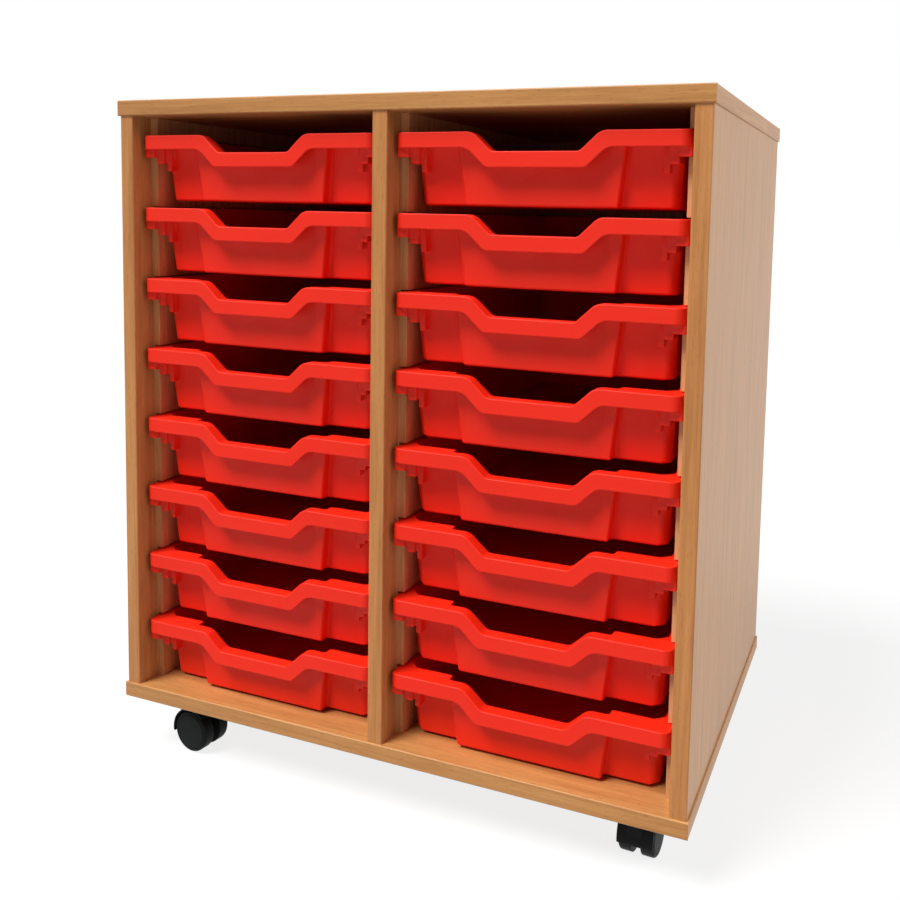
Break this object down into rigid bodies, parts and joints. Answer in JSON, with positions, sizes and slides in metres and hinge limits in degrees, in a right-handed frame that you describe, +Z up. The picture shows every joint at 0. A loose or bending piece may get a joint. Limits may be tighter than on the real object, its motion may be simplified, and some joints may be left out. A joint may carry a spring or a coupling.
{
  "type": "classroom tray storage unit",
  "caption": "Double-bay board cabinet on swivel castors, with red plastic trays that slide in grooved runner boards.",
  "frame": {"origin": "on the floor under the middle of the unit's bounding box", "axes": "+X to the right seen from the tray fronts, +Y towards the back, +Z up; trays pull out along -Y"},
  "size_m": [0.698, 0.464, 0.789],
  "materials": {
    "beech_board": "satin beech-effect melamine board",
    "beech_banding": "satin beech-effect edging",
    "birch_ply": "raw",
    "red_plastic": "semi-gloss moulded polypropylene",
    "black_plastic": "satin moulded nylon",
    "wheel_plastic": "satin moulded nylon",
    "black_steel": "black",
    "axle_steel": "plain"
  },
  "bodies": {
    "cabinet": {"base_panel": "beech_board", "top_panel": "beech_board", "base_edge_band": "beech_banding", "top_edge_band": "beech_banding", "left_side_panel": "beech_board", "right_side_panel": "beech_board", "centre_divider": "beech_board", "left_side_edge_band": "beech_banding", "right_side_edge_band": "beech_banding", "divider_edge_band": "beech_banding", "back_panel": "beech_board", "loose_tongues": "birch_ply", "left_bay_runner_left": "beech_board", "left_bay_runner_right": "beech_board", "right_bay_runner_left": "beech_board", "right_bay_runner_right": "beech_board", "castor_plates": "black_steel"},
    "tray_left_1": {"tray_left_1": "red_plastic"},
    "tray_left_2": {"tray_left_2": "red_plastic"},
    "tray_left_3": {"tray_left_3": "red_plastic"},
    "tray_left_4": {"tray_left_4": "red_plastic"},
    "tray_left_5": {"tray_left_5": "red_plastic"},
    "tray_left_6": {"tray_left_6": "red_plastic"},
    "tray_left_7": {"tray_left_7": "red_plastic"},
    "tray_left_8": {"tray_left_8": "red_plastic"},
    "tray_right_1": {"tray_right_1": "red_plastic"},
    "tray_right_2": {"tray_right_2": "red_plastic"},
    "tray_right_3": {"tray_right_3": "red_plastic"},
    "tray_right_4": {"tray_right_4": "red_plastic"},
    "tray_right_5": {"tray_right_5": "red_plastic"},
    "tray_right_6": {"tray_right_6": "red_plastic"},
    "tray_right_7": {"tray_right_7": "red_plastic"},
    "tray_right_8": {"tray_right_8": "red_plastic"},
    "castor_front_left": {"castor_front_left_hood": "black_plastic", "castor_front_left_axle": "axle_steel"},
    "wheel_front_left_a": {"castor_front_left_wheel_a": "wheel_plastic"},
    "wheel_front_left_b": {"castor_front_left_wheel_b": "wheel_plastic"},
    "castor_front_right": {"castor_front_right_hood": "black_plastic", "castor_front_right_axle": "axle_steel"},
    "wheel_front_right_a": {"castor_front_right_wheel_a": "wheel_plastic"},
    "wheel_front_right_b": {"castor_front_right_wheel_b": "wheel_plastic"},
    "castor_rear_left": {"castor_rear_left_hood": "black_plastic", "castor_rear_left_axle": "axle_steel"},
    "wheel_rear_left_a": {"castor_rear_left_wheel_a": "wheel_plastic"},
    "wheel_rear_left_b": {"castor_rear_left_wheel_b": "wheel_plastic"},
    "castor_rear_right": {"castor_rear_right_hood": "black_plastic", "castor_rear_right_axle": "axle_steel"},
    "wheel_rear_right_a": {"castor_rear_right_wheel_a": "wheel_plastic"},
    "wheel_rear_right_b": {"castor_rear_right_wheel_b": "wheel_plastic"}
  },
  "joints": [
    {"name": "tray_left_1_slide", "type": "slide", "parent": "cabinet", "child": "tray_left_1", "axis": [0, -1, 0], "range_m": [0, 0.36]},
    {"name": "tray_left_2_slide", "type": "slide", "parent": "cabinet", "child": "tray_left_2", "axis": [0, -1, 0], "range_m": [0, 0.36]},
    {"name": "tray_left_3_slide", "type": "slide", "parent": "cabinet", "child": "tray_left_3", "axis": [0, -1, 0], "range_m": [0, 0.36]},
    {"name": "tray_left_4_slide", "type": "slide", "parent": "cabinet", "child": "tray_left_4", "axis": [0, -1, 0], "range_m": [0, 0.36]},
    {"name": "tray_left_5_slide", "type": "slide", "parent": "cabinet", "child": "tray_left_5", "axis": [0, -1, 0], "range_m": [0, 0.36]},
    {"name": "tray_left_6_slide", "type": "slide", "parent": "cabinet", "child": "tray_left_6", "axis": [0, -1, 0], "range_m": [0, 0.36]},
    {"name": "tray_left_7_slide", "type": "slide", "parent": "cabinet", "child": "tray_left_7", "axis": [0, -1, 0], "range_m": [0, 0.36]},
    {"name": "tray_left_8_slide", "type": "slide", "parent": "cabinet", "child": "tray_left_8", "axis": [0, -1, 0], "range_m": [0, 0.36]},
    {"name": "tray_right_1_slide", "type": "slide", "parent": "cabinet", "child": "tray_right_1", "axis": [0, -1, 0], "range_m": [0, 0.36]},
    {"name": "tray_right_2_slide", "type": "slide", "parent": "cabinet", "child": "tray_right_2", "axis": [0, -1, 0], "range_m": [0, 0.36]},
    {"name": "tray_right_3_slide", "type": "slide", "parent": "cabinet", "child": "tray_right_3", "axis": [0, -1, 0], "range_m": [0, 0.36]},
    {"name": "tray_right_4_slide", "type": "slide", "parent": "cabinet", "child": "tray_right_4", "axis": [0, -1, 0], "range_m": [0, 0.36]},
    {"name": "tray_right_5_slide", "type": "slide", "parent": "cabinet", "child": "tray_right_5", "axis": [0, -1, 0], "range_m": [0, 0.36]},
    {"name": "tray_right_6_slide", "type": "slide", "parent": "cabinet", "child": "tray_right_6", "axis": [0, -1, 0], "range_m": [0, 0.36]},
    {"name": "tray_right_7_slide", "type": "slide", "parent": "cabinet", "child": "tray_right_7", "axis": [0, -1, 0], "range_m": [0, 0.36]},
    {"name": "tray_right_8_slide", "type": "slide", "parent": "cabinet", "child": "tray_right_8", "axis": [0, -1, 0], "range_m": [0, 0.36]},
    {"name": "castor_front_left_swivel", "type": "hinge", "parent": "cabinet", "child": "castor_front_left", "pos_m": [-0.288, -0.189, 0.06], "axis": [0, 0, 1], "continuous": true},
    {"name": "wheel_front_left_a_spin", "type": "hinge", "parent": "castor_front_left", "child": "wheel_front_left_a", "pos_m": [-0.26711, -0.1912, 0.025], "axis": [0.1045, 0.9945, 0], "continuous": true},
    {"name": "wheel_front_left_b_spin", "type": "hinge", "parent": "castor_front_left", "child": "wheel_front_left_b", "pos_m": [-0.26711, -0.1912, 0.025], "axis": [0.1045, 0.9945, 0], "continuous": true},
    {"name": "castor_front_right_swivel", "type": "hinge", "parent": "cabinet", "child": "castor_front_right", "pos_m": [0.288, -0.189, 0.06], "axis": [0, 0, 1], "continuous": true},
    {"name": "wheel_front_right_a_spin", "type": "hinge", "parent": "castor_front_right", "child": "wheel_front_right_a", "pos_m": [0.28873, -0.16801, 0.025], "axis": [-0.9994, 0.0349, 0], "continuous": true},
    {"name": "wheel_front_right_b_spin", "type": "hinge", "parent": "castor_front_right", "child": "wheel_front_right_b", "pos_m": [0.28873, -0.16801, 0.025], "axis": [-0.9994, 0.0349, 0], "continuous": true},
    {"name": "castor_rear_left_swivel", "type": "hinge", "parent": "cabinet", "child": "castor_rear_left", "pos_m": [-0.288, 0.189, 0.06], "axis": [0, 0, 1], "continuous": true},
    {"name": "wheel_rear_left_a_spin", "type": "hinge", "parent": "castor_rear_left", "child": "wheel_rear_left_a", "pos_m": [-0.28082, 0.16927, 0.025], "axis": [0.9397, 0.342, 0], "continuous": true},
    {"name": "wheel_rear_left_b_spin", "type": "hinge", "parent": "castor_rear_left", "child": "wheel_rear_left_b", "pos_m": [-0.28082, 0.16927, 0.025], "axis": [0.9397, 0.342, 0], "continuous": true},
    {"name": "castor_rear_right_swivel", "type": "hinge", "parent": "cabinet", "child": "castor_rear_right", "pos_m": [0.288, 0.189, 0.06], "axis": [0, 0, 1], "continuous": true},
    {"name": "wheel_rear_right_a_spin", "type": "hinge", "parent": "castor_rear_right", "child": "wheel_rear_right_a", "pos_m": [0.26827, 0.18182, 0.025], "axis": [0.342, -0.9397, 0], "continuous": true},
    {"name": "wheel_rear_right_b_spin", "type": "hinge", "parent": "castor_rear_right", "child": "wheel_rear_right_b", "pos_m": [0.26827, 0.18182, 0.025], "axis": [0.342, -0.9397, 0], "continuous": true}
  ]
}
